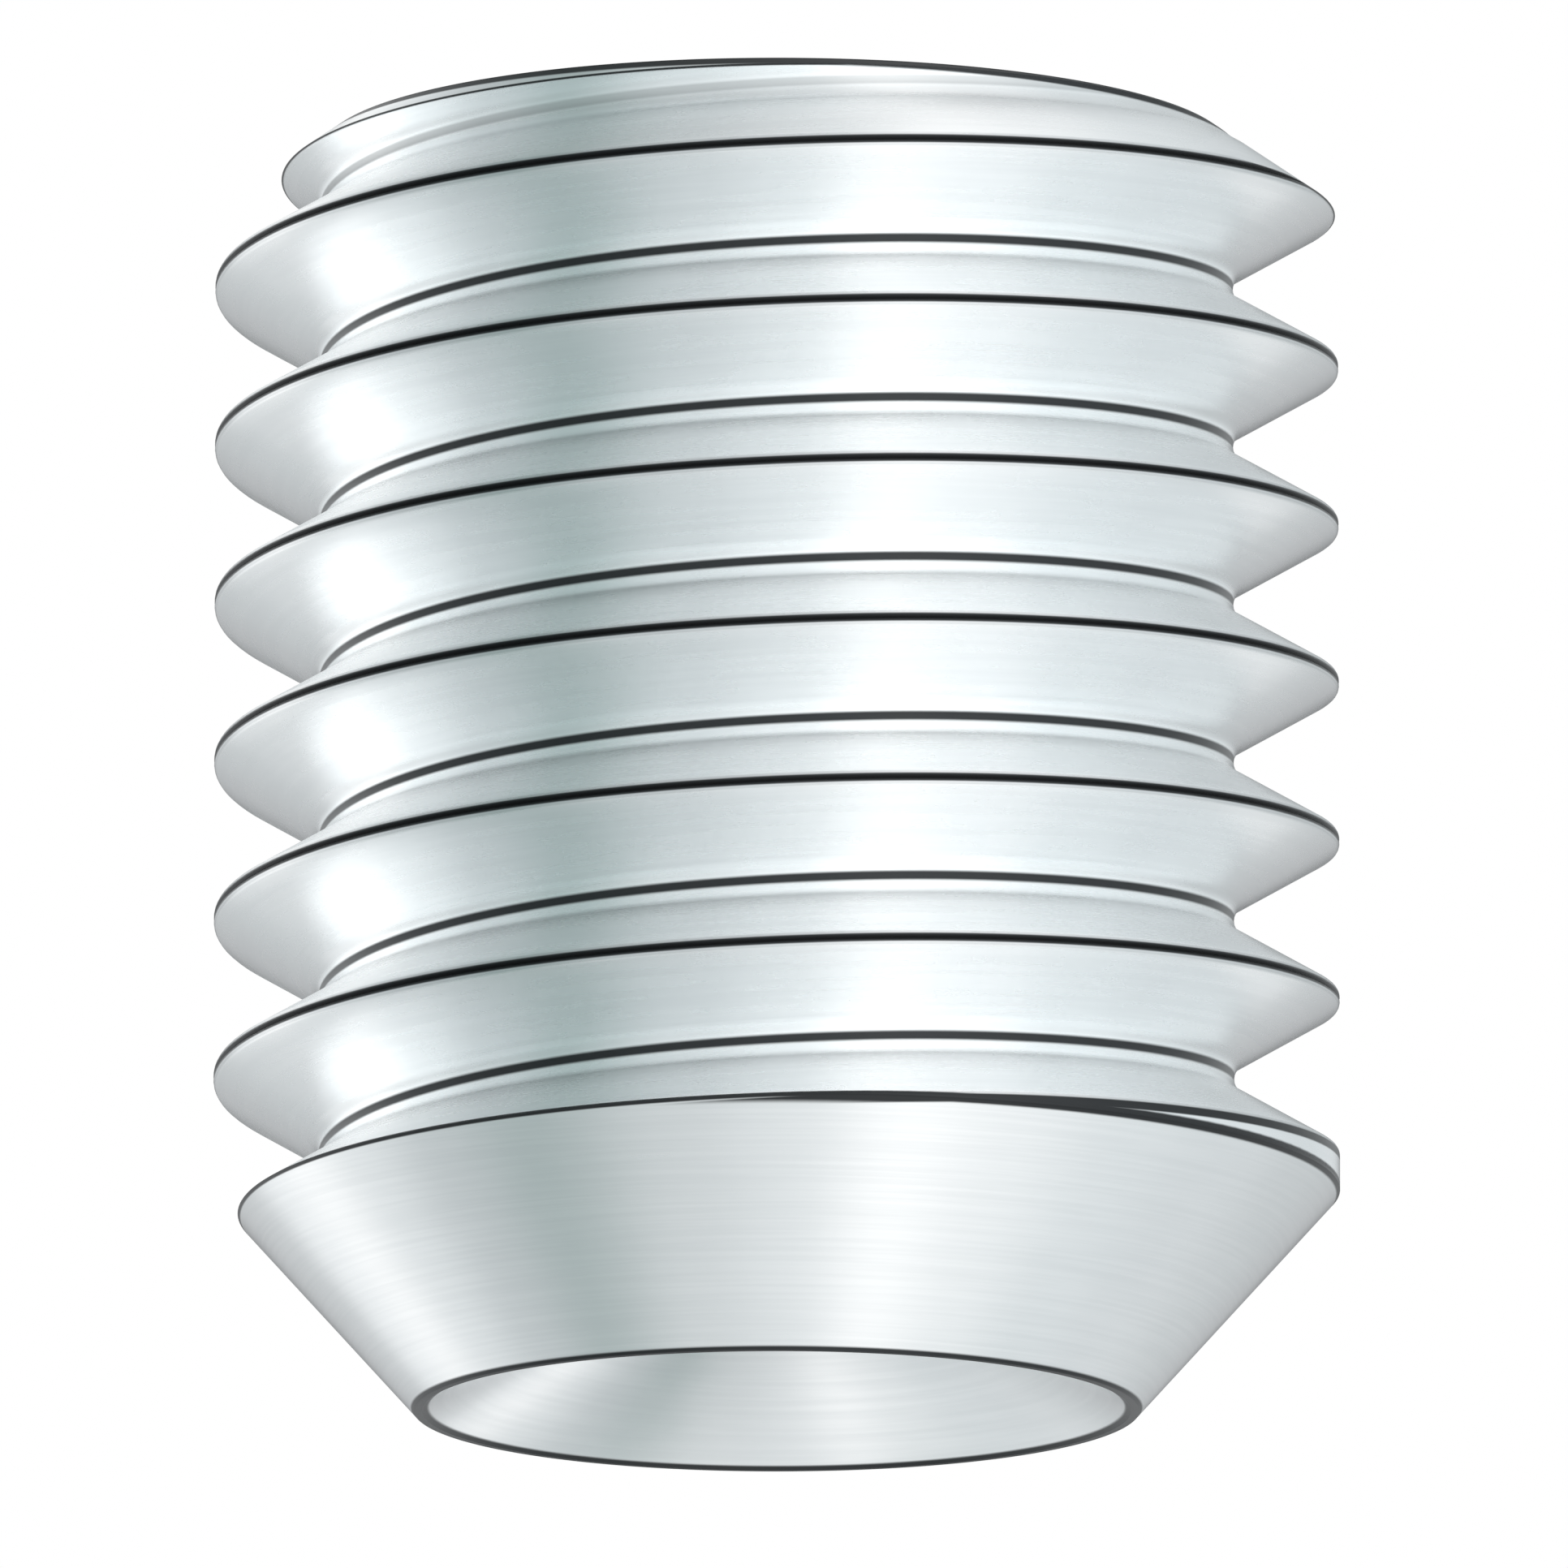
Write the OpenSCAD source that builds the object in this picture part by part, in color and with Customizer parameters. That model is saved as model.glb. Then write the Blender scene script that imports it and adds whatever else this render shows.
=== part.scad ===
// Cup point grub screw, M14 x 2 x 16: a headless set screw, turned from one bar of steel.
// It stands on the rim of its cup point, with the hexagon socket up. The origin is the
// centre of that rim. All sizes are in millimetres.

/* [Thread] */
// Outside diameter of the thread
thread_d = 14; // [12:0.5:20]
// Distance from one crest to the next
pitch = 2; // [1.5:0.25:2.5]
// Angle between the two flanks of the groove
flank_angle = 60; // [55:1:65]
// Width of the flat along the crest
crest_w = 0.16; // [0.1:0.02:0.3]
// Radius in the bottom of the groove
root_radius = 0.28; // [0.15:0.01:0.32]
// Part of a turn over which the groove fades out above the point
runout_turns = 0.45; // [0.25:0.05:0.75]
// Height of the cone's upper edge above the place where the groove has faded out
runout_below_edge = 0.6; // [0:0.1:0.8]
// Straight steps in one turn of the groove
steps_per_turn = 48; // [36:4:60]

/* [Body] */
// Length from the rim of the cup to the driven end
screw_length = 16; // [14:1:30]
// How far the end chamfer reaches inside the bottom of the thread
chamfer_inside_root = 0.05; // [0:0.05:0.4]
// Angle between the end chamfer and the end face
chamfer_angle = 35; // [25:1:55]

/* [Cup point] */
// Diameter of the cup's rim
rim_d = 9; // [7:0.25:10]
// Width of the flat on the rim
rim_w = 0.1; // [0.05:0.01:0.3]
// Angle of the cone that leads from the thread to the rim
point_angle = 84; // [76:1:110]
// Angle of the hollow cone inside the rim
cup_angle = 120; // [110:1:130]

/* [Hexagon socket] */
// Width across the flats of the socket
socket_af = 6; // [4:0.5:7]
// Depth of the six flats
socket_depth = 7.2; // [4:0.2:8]
// Angle of the cone at the bottom of the socket
socket_bottom_angle = 120; // [110:1:130]
// How far the countersink at the mouth reaches past the corners
mouth_past_corners = 0.12; // [0.05:0.01:0.3]
// Angle of the countersink at the mouth
mouth_angle = 100; // [90:1:120]

/* [Hidden] */

// Thread form, with the groove's section seen as radius and height
half_flank = flank_angle / 2;
thread_r = thread_d / 2;
groove_half_w = (pitch - crest_w) / 2;
sharp_root_r = thread_r - groove_half_w / tan(half_flank);
root_r = sharp_root_r + root_radius / sin(half_flank) - root_radius;
thread_depth = thread_r - root_r;
root_arc_steps = 4;

// The groove's cutter stops half way between the crest and the place where two turns would meet
cutter_past_crest = crest_w / 4 / tan(half_flank);
faded_past_crest = 0.1;
faded_cutter_wall = 0.05;

// Point and driven end
rim_r = rim_d / 2;
rim_inner_r = rim_r - rim_w;
cup_depth = rim_inner_r / tan(cup_angle / 2);
point_h = (thread_r - rim_r) / tan(point_angle / 2);
end_r = root_r - chamfer_inside_root;
chamfer_h = (thread_r - end_r) * tan(chamfer_angle);

// Path of the groove, as turns along a right-hand helix
groove_start_z = point_h - runout_below_edge;
groove_end_z = screw_length + pitch;
groove_turns = (groove_end_z - groove_start_z) / pitch;
groove_steps = ceil(groove_turns * steps_per_turn);

// Socket
hexagon = 6;
socket_corner_r = socket_af / 2 / cos(180 / hexagon);
socket_bottom_z = screw_length - socket_depth - socket_corner_r / tan(socket_bottom_angle / 2);
mouth_r = socket_corner_r + mouth_past_corners;
mouth_h = mouth_r / tan(mouth_angle / 2);
above_end = 1;

steel = [0.78, 0.82, 0.83];
$fn = 96;

// How far the groove is lifted out of the bar at a number of turns from its lower end
function lift(turns) =
    let (faded = thread_depth + faded_past_crest)
    turns >= runout_turns ? 0 : faded * (1 + cos(180 * turns / runout_turns)) / 2;

// Section of the groove lifted by h: one outer corner, the round root, the other outer corner
function groove_section(h) =
    let (
        centre_r = sharp_root_r + h + root_radius / sin(half_flank),
        round_end = 90 - half_flank,
        tangent_r = centre_r - root_radius * cos(round_end),
        outer_r = max(thread_r + cutter_past_crest, tangent_r + faded_cutter_wall),
        outer_half_w = (outer_r - sharp_root_r - h) * tan(half_flank),
        root_arc = [
            for (i = [0 : root_arc_steps])
                let (a = round_end * (2 * i / root_arc_steps - 1))
                [centre_r - root_radius * cos(a), root_radius * sin(a)]
        ]
    )
    concat([[outer_r, -outer_half_w]], root_arc, [[outer_r, outer_half_w]]);

// Places a section on the helix, where x is the radius and y the height
function on_helix(section, turns) =
    let (a = 360 * turns, z = groove_start_z + pitch * turns)
    [for (p = section) [p.x * cos(a), p.x * sin(a), z + p.y]];

// Triangles that join ring after ring of n points, and close the first and the last ring
function ring_faces(rings, n) = concat(
    [
        for (i = [0 : rings - 2], k = [0 : n - 1])
            let (a = i * n + k, b = i * n + (k + 1) % n)
            each [[a, b + n, b], [a, a + n, b + n]]
    ],
    [[for (k = [0 : n - 1]) k]],
    [[for (k = [n - 1 : -1 : 0]) (rings - 1) * n + k]]
);

// What the thread roller leaves out of the bar: one long groove that winds up to the right
module thread_groove() {
    sections = [
        for (i = [0 : groove_steps])
            let (turns = groove_turns * i / groove_steps)
            on_helix(groove_section(lift(turns)), turns)
    ];
    n = len(sections[0]);
    polyhedron([for (s = sections, p = s) p], ring_faces(len(sections), n));
}

// The turned bar: cup, rim, cone, thread diameter, chamfer and end face
module blank() {
    rotate_extrude()
        polygon([
            [0, cup_depth],
            [rim_inner_r, 0],
            [rim_r, 0],
            [thread_r, point_h],
            [thread_r, screw_length - chamfer_h],
            [end_r, screw_length],
            [0, screw_length]
        ]);
}

// Six flats that end in a drilled cone, with a countersink that breaks the corners at the mouth
module socket() {
    intersection() {
        cylinder(h = screw_length + above_end, r = socket_corner_r, $fn = hexagon);
        rotate_extrude()
            polygon([
                [0, socket_bottom_z],
                [thread_r, socket_bottom_z + thread_r / tan(socket_bottom_angle / 2)],
                [thread_r, screw_length + above_end],
                [0, screw_length + above_end]
            ]);
    }
    translate([0, 0, screw_length])
        rotate_extrude()
            polygon([[0, -mouth_h], [mouth_r, 0], [mouth_r, above_end], [0, above_end]]);
}

module set_screw() {
    color(steel)
        difference() {
            blank();
            socket();
            thread_groove();
        }
}

set_screw();
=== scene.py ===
# %% [markdown]
# A grub screw has no head. It is a short steel rod with a thread all the way along, a
# hexagon socket in one end for the key, and a hollow cone, the cup point, in the other.
# The cup's sharp rim bites into the shaft that the screw holds.
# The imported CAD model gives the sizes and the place. Its own mesh could be dressed as it
# is, but its thread goes round in coarse steps. This script makes the same screw with a
# smooth thread, and adds a bright zinc finish, a plain studio and the photograph's camera.

# %% Load the frame
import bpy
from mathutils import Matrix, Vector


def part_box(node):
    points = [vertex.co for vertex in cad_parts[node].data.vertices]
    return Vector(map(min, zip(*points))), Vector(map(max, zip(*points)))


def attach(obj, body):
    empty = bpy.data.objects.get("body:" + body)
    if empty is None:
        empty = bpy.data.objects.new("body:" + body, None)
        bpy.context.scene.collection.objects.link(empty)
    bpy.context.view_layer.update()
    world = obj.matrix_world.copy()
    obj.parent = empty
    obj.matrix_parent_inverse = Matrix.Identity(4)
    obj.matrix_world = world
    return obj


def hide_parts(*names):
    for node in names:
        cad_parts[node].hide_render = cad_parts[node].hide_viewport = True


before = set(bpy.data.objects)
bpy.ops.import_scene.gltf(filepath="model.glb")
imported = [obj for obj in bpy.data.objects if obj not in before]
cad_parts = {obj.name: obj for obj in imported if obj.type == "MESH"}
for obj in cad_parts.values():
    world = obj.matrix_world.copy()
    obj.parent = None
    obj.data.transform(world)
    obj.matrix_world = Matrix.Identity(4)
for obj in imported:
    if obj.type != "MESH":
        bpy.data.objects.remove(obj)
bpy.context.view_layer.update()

# %% [markdown]
# The screw's length and radius could be typed in, but they are read from the frame, so that
# the new piece is exactly as long and as wide as the solid that it stands for.

# %% Length and radius from the frame
import math

import bpy
import numpy as np
from mathutils import Vector

NODE = "set_screw"
MM = 0.001
cad_low, cad_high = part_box(NODE)
crest_r = cad_high[0] / MM
screw_length = cad_high[2] / MM
print(f"The screw is {screw_length:.2f} mm long, and its crests have a radius of {crest_r:.2f} mm")

# %% [markdown]
# The other sizes repeat the CAD model's own: an M14 thread of 2 mm pitch, a 9 mm cup and a
# 6 mm socket. All modelling is done with one unit for a millimetre, because many operators
# merge points that are a few thousandths of a unit apart. The finished screw is shrunk to
# metres at the end.

# %% Sizes of the thread, the point and the socket, in millimetres
pitch = 2.0
half_flank = math.radians(30)
crest_w = 0.16
root_radius = 0.28
runout_turns = 0.45
runout_below_edge = 0.6
faded_past_crest = 0.1
rim_r = 4.5
rim_w = 0.1
point_slope = math.radians(48)
cup_slope = math.radians(30)
socket_flat_r = 3.0
socket_depth = 7.2
socket_slope = math.radians(30)
mouth_past_corners = 0.12
mouth_slope = math.radians(40)
chamfer_inside_root = 0.05
chamfer_slope = math.radians(35)

sharp_root_r = crest_r - (pitch - crest_w) / 2 / math.tan(half_flank)
root_r = sharp_root_r + root_radius / math.sin(half_flank) - root_radius
end_r = root_r - chamfer_inside_root
point_h = (crest_r - rim_r) * math.tan(point_slope)
groove_start_z = point_h - runout_below_edge
print(f"The groove is {crest_r - root_r:.2f} mm deep, and the cone is {point_h:.2f} mm high")

# %% [markdown]
# Everything on this screw is round, so it all starts as an outline, drawn as radius and
# height. There is no tool that draws a bare line, but a plane whose four corners are merged
# is a single point, and extruding that point again and again draws the line.

# %% Draw an outline
def draw_outline(name, points):
    """Draws a line through points, as an object with its origin on the axis."""
    bpy.ops.object.select_all(action="DESELECT")
    bpy.ops.mesh.primitive_plane_add(size=1, location=(points[0][0], 0, points[0][1]))
    piece = bpy.context.object
    piece.name = piece.data.name = name
    bpy.ops.object.mode_set(mode="EDIT")
    bpy.ops.mesh.merge(type="CENTER")
    for (r, z), (next_r, next_z) in zip(points, points[1:]):
        step = {"value": (next_r - r, 0, next_z - z)}
        bpy.ops.mesh.extrude_region_move(TRANSFORM_OT_translate=step)
    bpy.ops.object.mode_set(mode="OBJECT")
    bpy.ops.object.transform_apply(location=True, rotation=True, scale=True)
    return piece


print("An outline is a list of points, each a radius and a height")

# %% [markdown]
# The thread is rolled: hard dies press a groove into the bar, and the metal that flows out
# of it rises on both sides to a narrow crest. The two sides never quite join there, so a
# rolled crest has a fine crease along its middle. One pitch of that form, from crease to
# crease, is enough. The flanks get extra points, because the groove has to fade out later.

# %% Outline of one pitch of the thread
CREST_STEPS, FLANK_STEPS, ROOT_STEPS = 3, 6, 8
crease_half_w, crease_depth = 0.03, 0.04
tilt = math.pi / 2 - half_flank
lip_r = (crest_w / 2 - crease_half_w) / math.tan(tilt / 2)
root_centre_r = sharp_root_r + root_radius / math.sin(half_flank)


def arc(centre, radius, start, end, steps):
    """Points on a round corner. Angles are in radians, and 0 points away from the axis."""
    angles = np.linspace(start, end, steps + 1)
    return [(centre[0] + radius * math.cos(a), centre[1] + radius * math.sin(a)) for a in angles]


def along(a, b, steps):
    """Points between a and b, without the two ends."""
    return [tuple(np.add(a, np.subtract(b, a) * i / steps)) for i in range(1, steps)]


lip_centre = (crest_r - lip_r, crease_half_w - pitch / 2)
lower_crest = [(crest_r - crease_depth, -pitch / 2)] + arc(lip_centre, lip_r, 0, tilt, CREST_STEPS)
root = arc((root_centre_r, 0), root_radius, math.pi + tilt, math.pi - tilt, ROOT_STEPS)
upper_crest = [(r, -z) for r, z in reversed(lower_crest)]
thread_outline = (
    lower_crest + along(lower_crest[-1], root[0], FLANK_STEPS) + root
    + along(root[-1], upper_crest[0], FLANK_STEPS) + upper_crest
)
print(f"One pitch has {len(thread_outline)} points")

# %% [markdown]
# An outline swept along a helical curve makes a thread too, but it leans over as it climbs.
# A screw modifier keeps it upright. It turns the outline round the axis and lifts it by one
# pitch a turn, which gives a threaded rod of any length. Neighbouring turns share the middle
# of a crest, so merging doubles closes them into one surface.

# %% Wind the outline into a threaded rod
STEPS_PER_TURN = 160
SPARE_TURNS = 2
MERGE_MM = 1e-4
SEAM_MM = 1e-5


def select_only(piece):
    """Selects one piece and nothing else, so that an operator acts on it alone."""
    bpy.ops.object.select_all(action="DESELECT")
    piece.select_set(True)
    bpy.context.view_layer.objects.active = piece


def edit_whole(piece):
    """Opens one piece in edit mode with all of it selected."""
    select_only(piece)
    bpy.ops.object.mode_set(mode="EDIT")
    bpy.ops.mesh.select_all(action="SELECT")


turns = math.ceil((screw_length - groove_start_z) / pitch) + 2 * SPARE_TURNS
first_z = groove_start_z - SPARE_TURNS * pitch
rod = draw_outline("thread_rod", [(r, z + first_z) for r, z in thread_outline])
winding = rod.modifiers.new("wind", "SCREW")
winding.angle = 2 * math.pi
winding.screw_offset = pitch
winding.iterations = turns
winding.steps = winding.render_steps = STEPS_PER_TURN
winding.use_merge_vertices = True
winding.merge_threshold = SEAM_MM
bpy.ops.object.modifier_apply(modifier=winding.name)
edit_whole(rod)
bpy.ops.mesh.remove_doubles(threshold=MERGE_MM)
bpy.ops.object.mode_set(mode="OBJECT")
print(f"The rod has {turns} turns and {len(rod.data.polygons)} faces")

# %% [markdown]
# Close to the point the groove gets shallow and ends, because the dies open there. No
# modifier fades a groove, so this step moves the points in code: each one is lifted
# away from the axis, as far as its place along the groove says, and stops at the crests.

# %% Fade the groove out above the point
fade = crest_r - root_r + faded_past_crest
count = len(rod.data.vertices)
points = np.empty(count * 3, np.float32)
rod.data.vertices.foreach_get("co", points)
points = points.reshape(count, 3)
radius = np.hypot(points[:, 0], points[:, 1])
part_turn = np.arctan2(points[:, 1], points[:, 0]) / (2 * math.pi)
climbed = (points[:, 2] - groove_start_z) / pitch
along_groove = part_turn + np.round(climbed - part_turn)
faded = np.clip(along_groove / runout_turns, 0, 1)
lifted = np.minimum(crest_r, radius + fade * (1 + np.cos(math.pi * faded)) / 2)
points[:, :2] *= (lifted / radius)[:, None]
rod.data.vertices.foreach_set("co", points.ravel())
rod.data.update()
print(f"{int((lifted > radius + MERGE_MM).sum())} of {count} points were lifted")

# %% [markdown]
# Two flat cuts make the rod a closed solid, a little longer than the screw at both ends.
# The real ends could be cut here too, one by one, but a single turned shape gives them all.

# %% Cut the rod to length
SPARE_LENGTH = 0.6


def flat_cut(piece, height, keep_above):
    """Cuts a piece level, closes the cut, and keeps what is above or below it."""
    edit_whole(piece)
    bpy.ops.mesh.bisect(
        plane_co=(0, 0, height), plane_no=(0, 0, 1), use_fill=True,
        clear_inner=keep_above, clear_outer=not keep_above,
    )
    bpy.ops.object.mode_set(mode="OBJECT")


flat_cut(rod, -SPARE_LENGTH, True)
flat_cut(rod, screw_length + SPARE_LENGTH, False)
edit_whole(rod)
bpy.ops.mesh.normals_make_consistent(inside=False)
bpy.ops.object.mode_set(mode="OBJECT")
print(f"The closed rod has {len(rod.data.polygons)} faces")

# %% [markdown]
# The two ends are turned shapes: a steep cone that ends in the cup's narrow rim, the
# hollow cone of the cup itself, and the chamfer and the flat face at the driven end.
# One outline holds them all. It stays outside the crests, so that intersecting it with
# the rod cuts the ends and leaves the thread alone. Two of its corners are rounded by a few
# hundredths of a millimetre, as a tool leaves them, because a perfect edge catches no light.

# %% Turn the ends
TURN_STEPS = 320
past_crests = 0.6
end_edge_r, end_edge_steps = 0.05, 4
rim_edge_r, rim_edge_steps = 0.03, 3
inner_rim_r = rim_r - rim_w
cup_depth = inner_rim_r * math.tan(cup_slope)
widest_r = crest_r + past_crests


def spin(piece, steps):
    """Turns an outline round the axis into a closed shape whose faces point outwards."""
    edit_whole(piece)
    bpy.ops.mesh.spin(steps=steps, angle=2 * math.pi, center=(0, 0, 0), axis=(0, 0, 1))
    bpy.ops.mesh.select_all(action="SELECT")
    bpy.ops.mesh.remove_doubles(threshold=MERGE_MM)
    bpy.ops.mesh.normals_make_consistent(inside=False)
    bpy.ops.object.mode_set(mode="OBJECT")


rim_centre = (rim_r - rim_edge_r * math.tan(point_slope / 2), rim_edge_r)
end_centre = (end_r - end_edge_r * math.tan(chamfer_slope / 2), screw_length - end_edge_r)
straight_down, straight_up = -math.pi / 2, math.pi / 2
ends_outline = (
    [(0, cup_depth), (inner_rim_r, 0)]
    + arc(rim_centre, rim_edge_r, straight_down, straight_down + point_slope, rim_edge_steps)
    + [(widest_r, point_h + past_crests * math.tan(point_slope)),
       (widest_r, screw_length - (widest_r - end_r) * math.tan(chamfer_slope))]
    + arc(end_centre, end_edge_r, straight_up - chamfer_slope, straight_up, end_edge_steps)
    + [(0, screw_length)]
)
ends = draw_outline("turned_ends", ends_outline)
spin(ends, TURN_STEPS)
print(f"The turned shape has {len(ends.data.polygons)} faces")

# %% [markdown]
# The socket is punched with a six-sided tool that has a conical tip. The tool starts as a
# cylinder with six sides, and a boolean with a spun cone gives it the tip. A hexagon that
# is scaled to a point would be quicker, but its tip would be a pyramid.

# %% Make the socket's tool
SIDES = 6
HALF_SIDE = math.pi / SIDES
TOOL_STEPS = 96
above_end, below_tip = 1.0, 1.0
corner_r = socket_flat_r / math.cos(HALF_SIDE)
tip_z = screw_length - socket_depth - corner_r * math.tan(socket_slope)


def boolean(piece, other, operation):
    """Joins, cuts or trims a piece with another one, which is then gone."""
    select_only(piece)
    cut = piece.modifiers.new(operation.lower(), "BOOLEAN")
    cut.operation = operation
    cut.solver = "EXACT"
    cut.object = other
    bpy.ops.object.modifier_apply(modifier=cut.name)
    bpy.data.objects.remove(other, do_unlink=True)


bpy.ops.object.select_all(action="DESELECT")
bpy.ops.mesh.primitive_cylinder_add(
    vertices=SIDES, radius=corner_r, depth=screw_length,
    location=(0, 0, tip_z - below_tip + screw_length / 2),
)
socket_tool = bpy.context.object
edit_whole(socket_tool)
bpy.ops.transform.rotate(value=HALF_SIDE, orient_axis="Z", center_override=(0, 0, 0))
bpy.ops.object.mode_set(mode="OBJECT")
bpy.ops.object.transform_apply(location=True, rotation=True, scale=True)
tip_outline = [
    (0, tip_z), (crest_r, tip_z + crest_r * math.tan(socket_slope)),
    (crest_r, screw_length + above_end), (0, screw_length + above_end),
]
tip = draw_outline("socket_tip", tip_outline)
spin(tip, TOOL_STEPS)
boolean(socket_tool, tip, "INTERSECT")
print(f"The socket's tool reaches down to z {tip_z:.2f} mm")

# %% [markdown]
# A countersink breaks the socket's corners at its mouth, so that the key finds its way in.
# It could be a bevel, but a bevel follows the hexagon, and the real tool is a cone. Half of
# the cone stands above the end face, so it is twice as deep and twice as wide as the cut.

# %% Make the countersink
TWICE = 2
mouth_r = corner_r + mouth_past_corners
mouth_h = mouth_r * math.tan(mouth_slope)
bpy.ops.object.select_all(action="DESELECT")
bpy.ops.mesh.primitive_cone_add(
    vertices=TOOL_STEPS, radius1=0, radius2=TWICE * mouth_r, depth=TWICE * mouth_h,
    location=(0, 0, screw_length),
)
countersink = bpy.context.object
bpy.ops.object.transform_apply(location=True, rotation=True, scale=True)
print(f"The countersink is {2 * mouth_r:.2f} mm across at the end face")

# %% [markdown]
# Three booleans put the screw together. The exact solver is slower than the other one,
# and it keeps the thin crests whole. Where a cut runs close to an edge, it leaves points
# almost on top of each other, and these are merged.

# %% Put the screw together
DOUBLES_MM = 2e-4
boolean(rod, ends, "INTERSECT")
boolean(rod, countersink, "DIFFERENCE")
boolean(rod, socket_tool, "DIFFERENCE")
screw = rod
screw.name = screw.data.name = "grub_screw"
edit_whole(screw)
bpy.ops.mesh.remove_doubles(threshold=DOUBLES_MM)
bpy.ops.mesh.dissolve_degenerate(threshold=MERGE_MM)
bpy.ops.object.mode_set(mode="OBJECT")
print(f"The screw has {sum(len(face.vertices) - 2 for face in screw.data.polygons)} triangles")

# %% [markdown]
# Smooth shading hides the small steps round the screw. Its real edges could be picked by
# hand and marked sharp, but an angle limit finds them all. Then the screw is shrunk to
# metres, rides on the root body and stands for the CAD solid, which is hidden from here on.

# %% Shade the screw and give it its place in the frame
SHARP_EDGE = math.radians(25)
bpy.ops.object.shade_smooth_by_angle(angle=SHARP_EDGE)
bpy.ops.transform.resize(value=(MM, MM, MM), center_override=(0, 0, 0))
bpy.ops.object.transform_apply(location=True, rotation=True, scale=True)
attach(screw, "root")
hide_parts(NODE)
print(f"The screw is now {screw.dimensions.z:.4f} m long")

# %% [markdown]
# Shader maths reads best as plain Python. A small class wraps a socket, so that an
# expression such as 1 - mask * 0.5 adds its Math nodes. Every other node comes from one
# method, which first sets the node and then fills its sockets.

# %% Write shader maths as expressions
class Value:
    """A socket that can stand in an expression."""

    def __init__(self, shader, socket):
        self.shader, self.socket = shader, socket

    def sibling(self, name):
        """Another output of the same node."""
        return Value(self.shader, self.socket.node.outputs[name])

    def math(self, operation, other=0.0):
        return self.shader.add("Math", {"operation": operation}, _0=self, _1=other)

    def smooth(self, low, high):
        """A mask that rises softly from 0 at low to 1 at high."""
        return self.shader.add("MapRange", {"interpolation_type": "SMOOTHSTEP"},
                               Value=self, From_Min=low, From_Max=high)

    def near(self, full, gone):
        """A mask that is 1 up to the first value and has faded to 0 at the second."""
        return 1 - self.smooth(full, gone)

    def __add__(self, other):
        return self.math("ADD", other)

    def __radd__(self, other):
        return self.math("ADD", other)

    def __sub__(self, other):
        return self.math("SUBTRACT", other)

    def __rsub__(self, other):
        return self.shader.add("Math", {"operation": "SUBTRACT"}, _0=other, _1=self)

    def __mul__(self, other):
        return self.math("MULTIPLY", other)

    def __rmul__(self, other):
        return self.math("MULTIPLY", other)

    def __truediv__(self, other):
        return self.math("DIVIDE", other)


class Shader:
    """An empty node tree, and the one method that adds to it."""

    def __init__(self, tree):
        self.tree = tree
        tree.nodes.clear()

    def add(self, kind, settings=None, output=0, **inputs):
        """Adds a node, sets it, fills its sockets by name or number, and gives one output."""
        node = self.tree.nodes.new("ShaderNode" + kind)
        for name, value in (settings or {}).items():
            if name == "stops":
                self.set_stops(node.color_ramp, value)
            else:
                setattr(node, name, value)
        for name, value in inputs.items():
            number = name[1:]
            socket = node.inputs[int(number) if number.isdigit() else name.replace("_", " ")]
            if isinstance(value, Value):
                self.tree.links.new(value.socket, socket)
            else:
                socket.default_value = value
        return Value(self, node.outputs[output]) if len(node.outputs) else None

    def set_stops(self, ramp, stops):
        ramp.interpolation = "EASE"
        while len(ramp.elements) < len(stops):
            ramp.elements.new(0.5)
        for element, (place, colour) in zip(ramp.elements, stops):
            element.position, element.color = place, (*colour, 1)

    def mix(self, factor, first, second):
        """Mixes two colours, each a socket or three numbers."""
        first, second = (c if isinstance(c, Value) else (*c, 1) for c in (first, second))
        return self.add("Mix", {"data_type": "RGBA"}, output=2, _0=factor, _6=first, _7=second)


metal = bpy.data.materials.new("bright_zinc")
metal.use_nodes = True
shader = Shader(metal.node_tree)
print("The zinc's node tree is empty, and ready")

# %% [markdown]
# Bright zinc plate is a thin, cool grey metal skin, a little cloudy under the light. All
# patterns on it follow the way it was made, so they need each point's place on the thread:
# how far it is from the axis, how many turns it is along the groove, and where it lies
# between one crest and the next. Unwrapping a helix by hand would be slow and never quite
# even. Object coordinates give all three in a few expressions.

# %% Each point's place on the thread, in millimetres and turns
FADE_STARTS = 0.2
in_mm = shader.add("VectorMath", {"operation": "SCALE"},
                   Vector=shader.add("TexCoord", output="Object"), Scale=1 / MM)
x = shader.add("SeparateXYZ", Vector=in_mm)
y, z = x.sibling("Y"), x.sibling("Z")
from_axis = (x * x + y * y).math("SQRT")
under_crest = crest_r - from_axis
from_end = screw_length - z

turn = y.math("ARCTAN2", x) / (2 * math.pi)
climb = (z - groove_start_z) / pitch - turn
turns_below = climb.math("ROUND")
above_root = (climb - turns_below) * pitch
from_root = above_root.math("ABSOLUTE")
from_crease = pitch / 2 - from_root
grooved = (turn + turns_below).smooth(FADE_STARTS, runout_turns)
grooved_above = (turn + climb.math("CEIL")).smooth(FADE_STARTS, runout_turns)
print(f"It takes {len(metal.node_tree.nodes)} nodes to find a point's place")

# %% [markdown]
# An edge is where two surfaces meet, so a point is on it when it is close to both. The
# distance to a sloping surface is the level distance times the sine of its slope. Where the
# groove has faded out, its flanks count as out of reach. A bevel node could find edges too,
# but it can't tell one edge from another.

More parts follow.
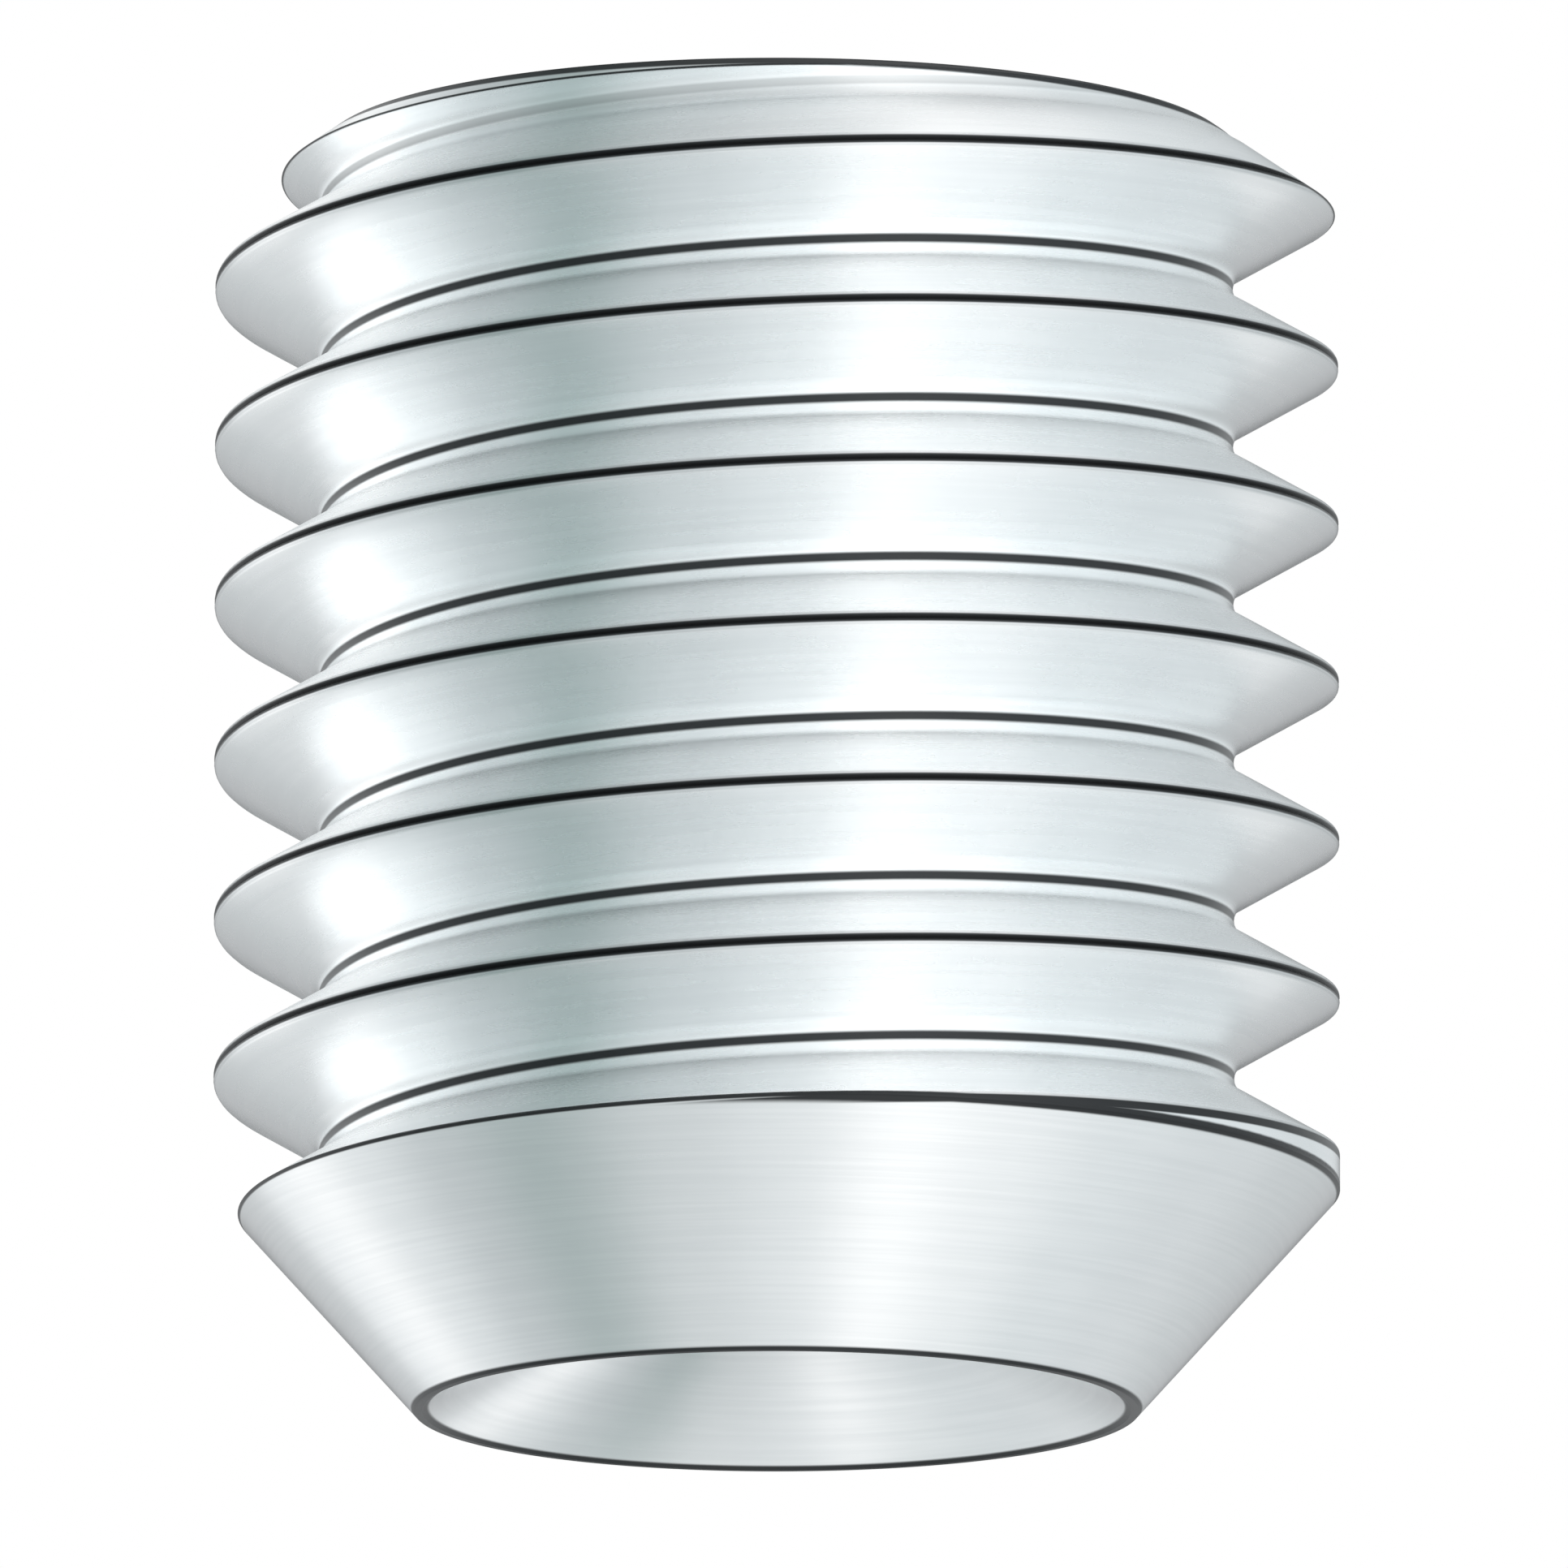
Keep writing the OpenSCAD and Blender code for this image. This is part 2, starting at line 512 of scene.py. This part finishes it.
# %% Distances to the thread and to the two turned slopes
OUT_OF_REACH = 2
flank_at_r = sharp_root_r + from_root / math.tan(half_flank) + OUT_OF_REACH * (1 - grooved)
off_flank = (flank_at_r - from_axis) * math.sin(half_flank)
off_thread = off_flank.math("MINIMUM", under_crest).math("ABSOLUTE")
cone_at_r = rim_r + z / math.tan(point_slope)
off_cone = (cone_at_r - from_axis).math("ABSOLUTE") * math.sin(point_slope)
chamfer_at_r = end_r + from_end / math.tan(chamfer_slope)
off_chamfer = (chamfer_at_r - from_axis).math("ABSOLUTE") * math.sin(chamfer_slope)
print(f"With the distances, the zinc has {len(metal.node_tree.nodes)} nodes")

# %% [markdown]
# A real screw isn't the same colour all over, and the groove also gets painted shade. A dark
# line of painted shade runs along the bottom of the groove, over a wider and softer painted
# shade. The line gets fainter close to the driven end, where the groove is open. The crease
# along the crest gets a dark line of painted shade too. On the sharp edges, where the turned
# ends cut through the thread, the thin plate is dull.
# These lines could be painted by hand, but a mask made of distances follows the thread
# exactly. Each pair of distances says how far a line is full, and where it has gone.

# %% Masks for painted shade and dull edges
# ROOT_LINE, ROOT_SHADE and CREASE_LINE place painted shade in the groove and in the crease.
ROOT_LINE, ROOT_SHADE = (0.035, 0.08), (0.02, 0.30)
THREAD_REACH = (0.015, 0.035)
CREASE_LINE, CREASE_REACH = (0.04, 0.065), (0.06, 0.12)
CONE_EDGE = (0.035, 0.06)
CHAMFER_EDGE, ABOVE_ROOT = (0.015, 0.035), (0, 0.05)
RIM_EDGE, RIM_REACH = (0.03, 0.06), (0.07, 0.11)
FACE_EDGE, FACE_REACH = (0.09, 0.125), (0.03, 0.07)
OPEN_END, FAINTER = (0.4, 1.1), 0.65

on_thread = (root_r - from_axis).near(*THREAD_REACH) * grooved
# Painted shade: a dark line along the bottom of the groove, fainter towards the open driven end.
painted_root_shade_line = from_root.near(*ROOT_LINE) * on_thread * (1 - FAINTER * from_end.near(*OPEN_END))
# Painted shade: a softer darkening over the bottom of the groove.
painted_groove_shade = from_root.near(*ROOT_SHADE) * on_thread
# Painted shade: a dark line in the crease along the crest.
painted_crease_shade = from_crease.near(*CREASE_LINE) * under_crest.near(*CREASE_REACH) * grooved_above
cone_edge = off_thread.math("MAXIMUM", off_cone).near(*CONE_EDGE)
chamfer_edge = off_thread.math("MAXIMUM", off_chamfer).near(*CHAMFER_EDGE) * above_root.smooth(*ABOVE_ROOT)
rim_edge = z.near(*RIM_EDGE) * (inner_rim_r - from_axis).near(*RIM_REACH)
face_edge = from_end.near(*FACE_EDGE) * (end_r - from_axis).near(*FACE_REACH)
# dark holds the painted shade lines and the dull edges together.
dark = painted_root_shade_line
for mask in (painted_crease_shade, cone_edge, chamfer_edge, rim_edge, face_edge):
    dark = dark.math("MAXIMUM", mask)
print(f"With the dark places, the zinc has {len(metal.node_tree.nodes)} nodes")

# %% [markdown]
# Each surface keeps the marks of its tool. The dies burnish the flanks and leave fine lines
# along them. The lathe leaves rings on the cone, in the cup and on the end face, and the
# punch leaves upright streaks in the socket. The skin at the full diameter touches no tool,
# so it is duller. Each surface could have a material of its own, but then the change from
# one to the next would be a hard line. So there is one material, and masks say which surface
# a point is on.

# %% Masks for the surfaces
ON_SLOPE = (0.015, 0.045)
ON_FLAT = (0.01, 0.03)
WELL_INSIDE, JUST_INSIDE = 0.25, 0.1
UNDER_TIP = 0.2
inside = from_axis.near(root_r - WELL_INSIDE, root_r - JUST_INSIDE)
on_slopes = off_cone.near(*ON_SLOPE).math("MAXIMUM", off_chamfer.near(*ON_SLOPE))
turned = inside.math("MAXIMUM", on_slopes)
end_face = from_end.near(*ON_FLAT)
skin = under_crest.near(*ON_FLAT)
socket = from_axis.near(corner_r, mouth_r) * z.smooth(tip_z - UNDER_TIP, tip_z)
print(f"With the surfaces, the zinc has {len(metal.node_tree.nodes)} nodes")

# %% [markdown]
# A wave texture gives lines, but they are as even as a ruler's. Noise turns into uneven
# lines when it is squeezed in one direction. Here it is squeezed across the flank, or across
# the rings, and hardly changes along them. A fourth coordinate makes each turn of the thread
# different from the next. The punch's streaks are noise that hardly changes with height.

# %% Marks of the tools
LINES_ALONG, LINES_ACROSS, LINES_BETWEEN_TURNS = 0.35, 16, 1.5
STREAKS_ALONG, STREAKS_ACROSS = 0.6, 10
CLOUDS_PER_MM, SPECKS_PER_MM = 0.9, 6.0
RINGS_BY_HEIGHT = 0.5

across = above_root * (1 - turned) + (from_axis + RINGS_BY_HEIGHT * z) * turned
line_place = shader.add("CombineXYZ", X=x * LINES_ALONG, Y=y * LINES_ALONG, Z=across * LINES_ACROSS)
lines = shader.add("TexNoise", {"noise_dimensions": "4D"},
                   Vector=line_place, W=z * LINES_BETWEEN_TURNS, Scale=1.0, Detail=2.0)
streak_place = shader.add("CombineXYZ", X=x * STREAKS_ACROSS, Y=y * STREAKS_ACROSS, Z=z * STREAKS_ALONG)
streaks = shader.add("TexNoise", Vector=streak_place, Scale=1.0, Detail=3.0)
marks = lines * (1 - socket) + streaks * socket
cloud = shader.add("TexNoise", Vector=in_mm, Scale=CLOUDS_PER_MM, Detail=4.0, Roughness=0.6)
specks = shader.add("TexNoise", Vector=in_mm, Scale=SPECKS_PER_MM, Detail=1.0)
print(f"With the marks, the zinc has {len(metal.node_tree.nodes)} nodes")

# %% [markdown]
# One even grey would look like paint. The plate's colour goes in layers, from burnished,
# through the marks, the dull places and the painted shade in the groove, to the dark lines:
# painted shade in the root and the crease, and dull plate on the sharp edges. Each layer has
# a colour, and a number that says how much of it shows where its mask is full.

# %% Colour of the zinc
CLOUDY_ZINC, CLEAR_ZINC = (0.89, 0.91, 0.915), (0.93, 0.945, 0.95)
MARKED_ZINC = (0.74, 0.765, 0.775)
DULL_ZINC = (0.60, 0.62, 0.63)
# Painted shade: the colour of the softer darkening over the bottom of the groove.
GROOVE_SHADE_COLOUR = (0.50, 0.54, 0.55)
# Near black for the painted shade in the root and the crease, and for the dull sharp edges.
SHADE_AND_EDGE_LINE_COLOUR = (0.02, 0.022, 0.024)
FAINT_TO_CLEAR = (0.3, 0.7)
MARKS_SHOW, MORE_WHERE_TURNED = 0.22, 0.06
SKIN_DULLED, END_DULLED = 0.75, 0.6
ROOT_SHADED = 0.30
LINES_DARKENED = 0.97

burnished = shader.mix(cloud, CLOUDY_ZINC, CLEAR_ZINC)
mark_shows = marks.smooth(*FAINT_TO_CLEAR) * (MARKS_SHOW + MORE_WHERE_TURNED * turned)
marked = shader.mix(mark_shows, burnished, MARKED_ZINC)
dulled = (skin * SKIN_DULLED).math("MAXIMUM", end_face * END_DULLED)
dull = shader.mix(dulled, marked, DULL_ZINC)
# Painted shade over the bottom of the groove.
shaded = shader.mix(painted_groove_shade * ROOT_SHADED, dull, GROOVE_SHADE_COLOUR)
# The dark lines: painted shade in the root and the crease, and dull plate on the sharp edges.
colour = shader.mix(dark * LINES_DARKENED, shaded, SHADE_AND_EDGE_LINE_COLOUR)
print(f"With its colour, the zinc has {len(metal.node_tree.nodes)} nodes")

# %% [markdown]
# Roughness and a very low bump follow the same patterns. Real grooves for the marks would
# need millions of faces, and they would be too fine to see from the side. Fine lines stretch
# a reflection across themselves, which is what the anisotropic setting does. The rotation of
# a quarter turns the stretch from round the screw to along it, so that bands of light stay
# upright and sharp.

# %% Roughness and bump, and the finished zinc
SMOOTHEST = 0.22
ROUGHER = [(0.05, cloud), (0.06, marks), (0.02, turned), (0.12, end_face), (0.15, dark)]
LINES_HIGH, HIGHER_WHERE_TURNED, SPECKS_HIGH = 0.5, 0.3, 0.1
BUMP_HEIGHT, BUMP_STRENGTH = 0.01 * MM, 0.2
STRETCH, QUARTER_TURN = 0.85, 0.25

roughness = SMOOTHEST
for more, mask in ROUGHER:
    roughness = roughness + more * mask
height = marks * (LINES_HIGH + HIGHER_WHERE_TURNED * turned) + specks * SPECKS_HIGH
bump = shader.add("Bump", Strength=BUMP_STRENGTH, Distance=BUMP_HEIGHT, Height=height)
surface = shader.add("BsdfPrincipled", Base_Color=colour, Metallic=1.0, Roughness=roughness,
                     Anisotropic=STRETCH, Anisotropic_Rotation=QUARTER_TURN, Normal=bump)
shader.add("OutputMaterial", Surface=surface)
screw.data.materials.clear()
screw.data.materials.append(metal)
print(f"The finished zinc has {len(metal.node_tree.nodes)} nodes")

# %% [markdown]
# The photograph looks at the screw slightly from below, and as flat as a drawing. A camera
# without perspective would be flat too, but a real photographer steps back and takes a long
# lens, and so does this script. How many pixels a millimetre takes gives the distance.

# %% Camera
ELEVATION = math.radians(-10.5)
PX_PER_MM = 99.0
FRAME_PX = 1932
AIM_X_PX, AIM_Y_PX = 957, 958
SENSOR_MM = 36
LENS_MM = 1000
NEAREST_M, FARTHEST_M = 0.01, 5

towards_camera = Vector((0, -math.cos(ELEVATION), math.sin(ELEVATION)))
picture_up = Vector((0, math.sin(ELEVATION), math.cos(ELEVATION)))
frame_width = FRAME_PX / PX_PER_MM * MM
distance = frame_width / SENSOR_MM * LENS_MM
middle = Vector((0, 0, (cad_low[2] + cad_high[2]) / 2))
aim = (middle + Vector((1, 0, 0)) * (FRAME_PX / 2 - AIM_X_PX) / PX_PER_MM * MM
       - picture_up * (FRAME_PX / 2 - AIM_Y_PX) / PX_PER_MM * MM)
camera = bpy.data.objects.new("camera", bpy.data.cameras.new("camera"))
bpy.context.collection.objects.link(camera)
camera.location = aim + towards_camera * distance
camera.rotation_mode = "QUATERNION"
camera.rotation_quaternion = towards_camera.to_track_quat("Z", "Y")
camera.data.sensor_width = SENSOR_MM
camera.data.lens = LENS_MM
camera.data.clip_start, camera.data.clip_end = NEAREST_M, FARTHEST_M
bpy.context.scene.camera = camera
print(f"The camera is {distance:.3f} m away, and {math.degrees(-ELEVATION):.1f} degrees below level")

# %% [markdown]
# Bright metal shows what stands round it. Three lamps would give it three small dots of
# light, so the light is a white tent with soft grey and dark cards instead, which give the
# screw its upright bands. The table runs from the left side of the tent to the right, and
# gives the colour of the light at each place.

# %% Light levels round the tent
BANDS = [
    (0.00, (0.50, 0.51, 0.52)),
    (0.07, (0.62, 0.64, 0.65)),
    (0.12, (1.02, 1.04, 1.05)),
    (0.165, (1.19, 1.19, 1.19)),
    (0.22, (0.86, 0.89, 0.90)),
    (0.285, (0.56, 0.60, 0.61)),
    (0.35, (0.355, 0.43, 0.425)),
    (0.44, (0.67, 0.705, 0.715)),
    (0.51, (0.87, 0.90, 0.91)),
    (0.575, (1.26, 1.26, 1.26)),
    (0.64, (1.06, 1.08, 1.09)),
    (0.72, (0.83, 0.87, 0.885)),
    (0.80, (0.71, 0.745, 0.76)),
    (0.90, (0.60, 0.63, 0.64)),
    (1.00, (0.50, 0.51, 0.52)),
]
print(f"The tent has {len(BANDS)} light levels")

# %% [markdown]
# For a polished surface, the tent's brightness is best written for the direction half way
# between the light and the photograph's camera, because that is the way the surface faces.
# The tent is fixed in the world and stays put when the camera moves. Light that ends up
# level has bounced two or three times in the groove, so the tent is brighter there, and it
# is mirrored for the hollow cup. A small dark flag right behind the screw draws its outline.

# %% Light tent
CUP_SLOPES = (1.2, 1.5)
GROOVE_SLOPE, GROOVE_REACH = -0.1, 0.45
EVEN_LIGHT, GROOVE_LIGHT = 0.94, 0.74
FLAG_SIZE, FLAG_LIGHT = (0.02, 0.32), 0.1

world = bpy.data.worlds.new("tent")
world.use_nodes = True
bpy.context.scene.world = world
tent = Shader(world.node_tree)
light_from = tent.add("TexCoord", output="Generated")
half_way = tent.add("VectorMath", {"operation": "ADD"}, _0=light_from, _1=tuple(towards_camera))
side = tent.add("SeparateXYZ", Vector=half_way)
back, rise = side.sibling("Y"), side.sibling("Z")
level = (side * side + back * back).math("SQRT")
facing = side.math("ARCTAN2", -1 * back) / math.pi + 0.5
slope = rise / level
bands, mirrored = (tent.add("ValToRGB", {"stops": BANDS}, Fac=f) for f in (facing, 1 - facing))
colours = tent.mix((-1 * slope).smooth(*CUP_SLOPES), bands, mirrored)
evened = EVEN_LIGHT + GROOVE_LIGHT * (slope - GROOVE_SLOPE).math("ABSOLUTE").near(0, GROOVE_REACH)
from_flag = (level * level + rise * rise).math("SQRT")
flagged = FLAG_LIGHT + (1 - FLAG_LIGHT) * from_flag.smooth(*FLAG_SIZE)
light = tent.add("Background", Color=colours, Strength=evened * flagged)
print(f"The tent has {len(world.node_tree.nodes)} nodes")

# %% [markdown]
# The camera itself sees plain white, where a strength of 1 is white, and so does light that
# passes through something. This puts no more light on the screw. Glossy rays see the tent,
# because in plain white alone the metal would have no form.

# %% White background
WHITE = (1, 1, 1, 1)
white = tent.add("Background", Color=WHITE, Strength=1.0)
by_camera = tent.add("LightPath", output="Is Camera Ray")
seen = by_camera + by_camera.sibling("Is Transmission Ray")
tent.add("OutputWorld", Surface=tent.add("MixShader", _0=seen, _1=light, _2=white))
print(f"With the background, the tent has {len(world.node_tree.nodes)} nodes")

# %% [markdown]
# The floor is a pale plate that the screw stands on. The photograph's camera looks up
# from below it, so the plate shows only its upper side, and lets all other light through.
# A plain plate would end in a hard line behind the screw, so this one fades into the white
# background on its way out.

# %% Floor
FLOOR_R, FLOOR_STEPS = 0.45, 96
FADES_TO_WHITE = (0.03, 0.15)
PALE = (0.93, 0.91, 0.90, 1)
bpy.ops.object.select_all(action="DESELECT")
bpy.ops.mesh.primitive_circle_add(
    vertices=FLOOR_STEPS, radius=FLOOR_R, fill_type="NGON", location=(0, 0, 0),
)
floor = bpy.context.object
floor.name = floor.data.name = "floor"
pale = bpy.data.materials.new("pale_floor")
pale.use_nodes = True
ground = Shader(pale.node_tree)
from_below = ground.add("NewGeometry", output="Backfacing")
shown = ground.add("LightPath", output="Is Camera Ray") * (1 - from_below)
from_screw = ground.add("VectorMath", {"operation": "LENGTH"}, output="Value",
                        Vector=ground.add("TexCoord", output="Object"))
matt = ground.add("BsdfDiffuse", Color=PALE)
glow = ground.add("Emission", Color=WHITE, Strength=1.0)
top = ground.add("MixShader", _0=from_screw.smooth(*FADES_TO_WHITE), _1=matt, _2=glow)
clear = ground.add("BsdfTransparent")
ground.add("OutputMaterial", Surface=ground.add("MixShader", _0=shown, _1=clear, _2=top))
floor.data.materials.append(pale)
print(f"The floor is {floor.dimensions.x:.2f} m wide")

# %% [markdown]
# Blender can bend colours to look like film. The Standard view leaves them as they are
# written, so that white is white and the zinc keeps its own grey.

# %% Picture settings
bpy.context.scene.view_settings.view_transform = "Standard"
print(f"The view transform is {bpy.context.scene.view_settings.view_transform}")
